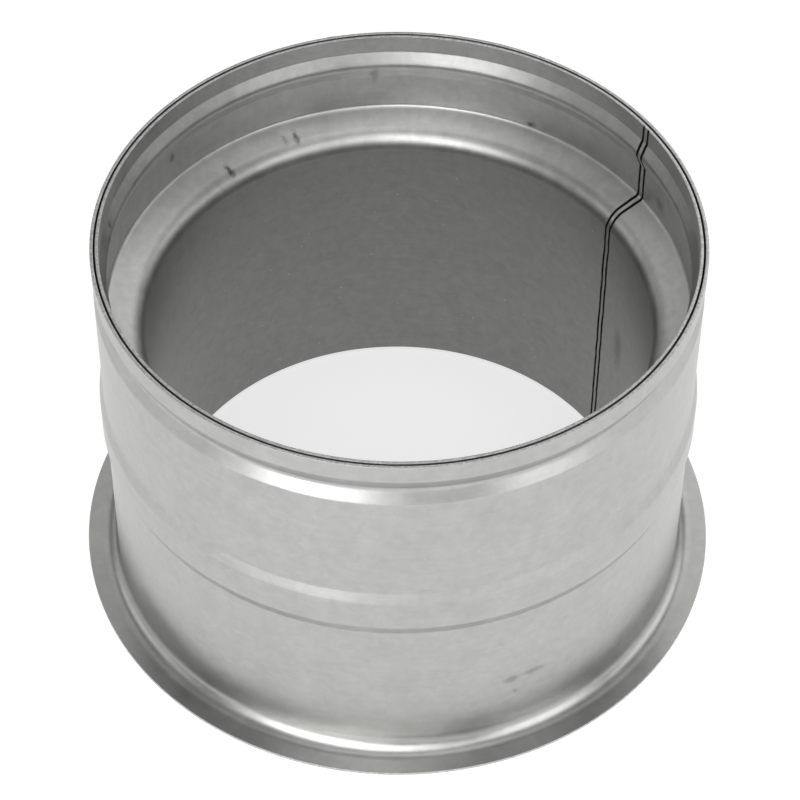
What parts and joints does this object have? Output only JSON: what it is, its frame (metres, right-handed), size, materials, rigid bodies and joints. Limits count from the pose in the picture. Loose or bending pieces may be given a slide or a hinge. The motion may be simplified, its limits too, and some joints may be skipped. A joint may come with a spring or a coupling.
{
  "type": "double wall stove pipe wall sleeve",
  "caption": "Double wall steel sleeve for a stove pipe: a flanged outer sleeve with a rolled band round an inner sleeve that steps in to a pipe bore, welded lengthwise.",
  "frame": {"origin": "on the sleeves' axis, in the plane of the foot flange's underside", "axes": "+Z along the axis of both sleeves, from the foot flange to the open rim; the inner weld lies about 32 degrees from +X"},
  "size_m": [0.2032, 0.2032, 0.1324],
  "materials": {
    "outer_steel": "bare rolled sheet, mill finish",
    "inner_steel": "bare rolled sheet, mill finish, slightly dull"
  },
  "bodies": {
    "root": {"outer_sleeve": "outer_steel", "inner_sleeve": "inner_steel"}
  },
  "joints": []
}
